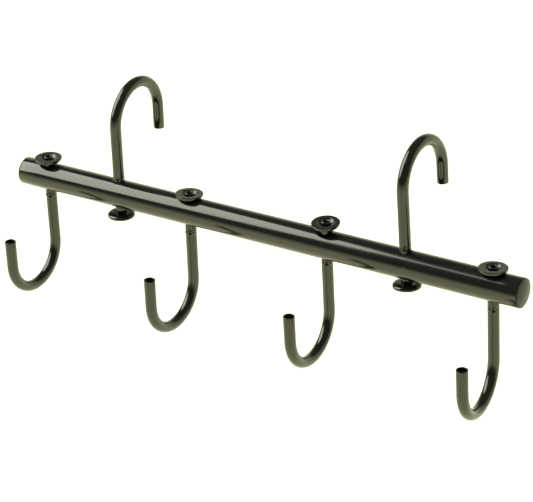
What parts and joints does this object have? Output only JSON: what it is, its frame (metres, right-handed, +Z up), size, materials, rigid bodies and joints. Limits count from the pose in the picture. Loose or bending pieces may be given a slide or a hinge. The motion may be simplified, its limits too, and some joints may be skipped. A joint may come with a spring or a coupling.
{
  "type": "swivel hook tack rack",
  "caption": "Hanging tack rack: a tubular steel bar with swivelling J-hooks below it for bridles and swivelling hanger hooks above it that go over a rail.",
  "frame": {"origin": "where a rail would bear in the crowns of the hanger hooks, midway between them", "axes": "+X along the bar, -Y the front that the lower hooks' tips face, +Z up"},
  "size_m": [0.514, 0.14, 0.2047],
  "materials": {
    "bar_enamel": "glossy black enamel",
    "hook_enamel": "glossy black enamel",
    "plug_plastic": "satin moulded black"
  },
  "bodies": {
    "bar": {"bar_tube": "bar_enamel", "end_plug_left": "plug_plastic", "end_plug_right": "plug_plastic"},
    "lower_washer_1": {"lower_washer_1": "hook_enamel"},
    "lower_hook_1": {"lower_hook_1": "hook_enamel"},
    "lower_washer_2": {"lower_washer_2": "hook_enamel"},
    "lower_hook_2": {"lower_hook_2": "hook_enamel"},
    "lower_washer_3": {"lower_washer_3": "hook_enamel"},
    "lower_hook_3": {"lower_hook_3": "hook_enamel"},
    "lower_washer_4": {"lower_washer_4": "hook_enamel"},
    "lower_hook_4": {"lower_hook_4": "hook_enamel"},
    "hanger_washer_left": {"hanger_washer_left": "hook_enamel"},
    "hanger_hook_left": {"hanger_hook_left": "hook_enamel"},
    "hanger_washer_right": {"hanger_washer_right": "hook_enamel"},
    "hanger_hook_right": {"hanger_hook_right": "hook_enamel"}
  },
  "joints": [
    {"name": "lower_lift_1", "type": "slide", "parent": "bar", "child": "lower_washer_1", "axis": [0.0262, 0, 0.9997], "range_m": [-0.00192, 0.00358]},
    {"name": "lower_swivel_1", "type": "hinge", "parent": "lower_washer_1", "child": "lower_hook_1", "pos_m": [-0.228, -0.0325, -0.0897], "axis": [0.0262, 0, 0.9997], "continuous": true},
    {"name": "lower_lift_2", "type": "slide", "parent": "bar", "child": "lower_washer_2", "axis": [0.0262, 0, 0.9997], "range_m": [0, 0.0055]},
    {"name": "lower_swivel_2", "type": "hinge", "parent": "lower_washer_2", "child": "lower_hook_2", "pos_m": [-0.0705, -0.0325, -0.0897], "axis": [0.0262, 0, 0.9997], "continuous": true},
    {"name": "lower_lift_3", "type": "slide", "parent": "bar", "child": "lower_washer_3", "axis": [0, 0, 1], "range_m": [-0.00418, 0.00132]},
    {"name": "lower_swivel_3", "type": "hinge", "parent": "lower_washer_3", "child": "lower_hook_3", "pos_m": [0.0705, -0.0325, -0.0897], "axis": [0, 0, 1], "continuous": true},
    {"name": "lower_lift_4", "type": "slide", "parent": "bar", "child": "lower_washer_4", "axis": [-0.0087, 0, 1], "range_m": [0, 0.0055]},
    {"name": "lower_swivel_4", "type": "hinge", "parent": "lower_washer_4", "child": "lower_hook_4", "pos_m": [0.228, -0.0325, -0.0897], "axis": [-0.0087, 0, 1], "continuous": true},
    {"name": "hanger_lift_left", "type": "slide", "parent": "bar", "child": "hanger_washer_left", "axis": [0.0262, 0, 0.9997], "range_m": [0, 0.0055]},
    {"name": "hanger_swivel_left", "type": "hinge", "parent": "hanger_washer_left", "child": "hanger_hook_left", "pos_m": [-0.1475, -0.0325, -0.0897], "axis": [0.0262, 0, 0.9997], "continuous": true},
    {"name": "hanger_lift_right", "type": "slide", "parent": "bar", "child": "hanger_washer_right", "axis": [-0.0262, 0, 0.9997], "range_m": [-0.00198, 0.00352]},
    {"name": "hanger_swivel_right", "type": "hinge", "parent": "hanger_washer_right", "child": "hanger_hook_right", "pos_m": [0.1475, -0.0325, -0.0897], "axis": [-0.0262, 0, 0.9997], "continuous": true}
  ]
}
